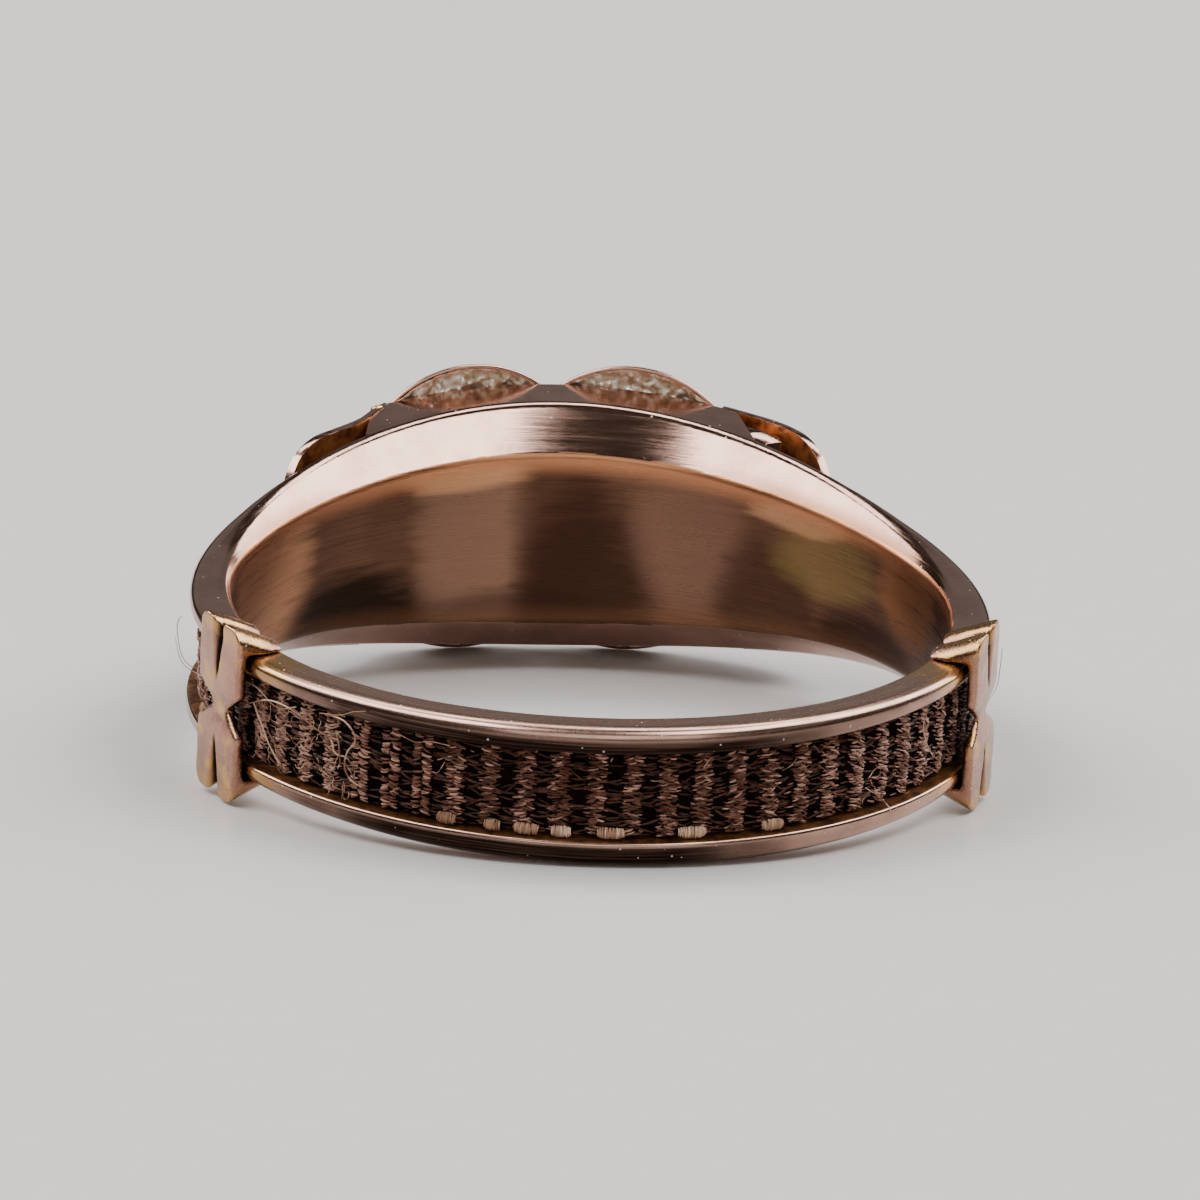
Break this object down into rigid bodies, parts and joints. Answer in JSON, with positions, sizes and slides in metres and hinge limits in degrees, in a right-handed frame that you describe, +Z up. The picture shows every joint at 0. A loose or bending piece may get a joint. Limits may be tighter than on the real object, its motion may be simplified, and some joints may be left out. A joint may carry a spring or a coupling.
{
  "type": "finger ring",
  "caption": "Rose gold finger ring with a channel of woven hair round the band, bow-shaped straps over it, and a lobed front plate with leaf ends, lying on its side.",
  "frame": {"origin": "middle of the bounding box on the surface that the ring lies on", "axes": "+Z up; +Y towards the ring's head and front plate; the ring lies on its side, so the finger hole runs nearly along Z, leaning 5.5 degrees towards -Y at the top"},
  "size_m": [0.0202, 0.0224, 0.0077],
  "materials": {
    "rose_gold": "polished and worn, with scratches, brown tarnish in the hollows",
    "strap_gold": "polished and worn, scratched",
    "hair": "dark brown woven hair with lighter strands and loose loops"
  },
  "bodies": {
    "root": {"band": "rose_gold", "strap_left": "strap_gold", "strap_right": "strap_gold", "hair_braid": "hair"}
  },
  "joints": []
}
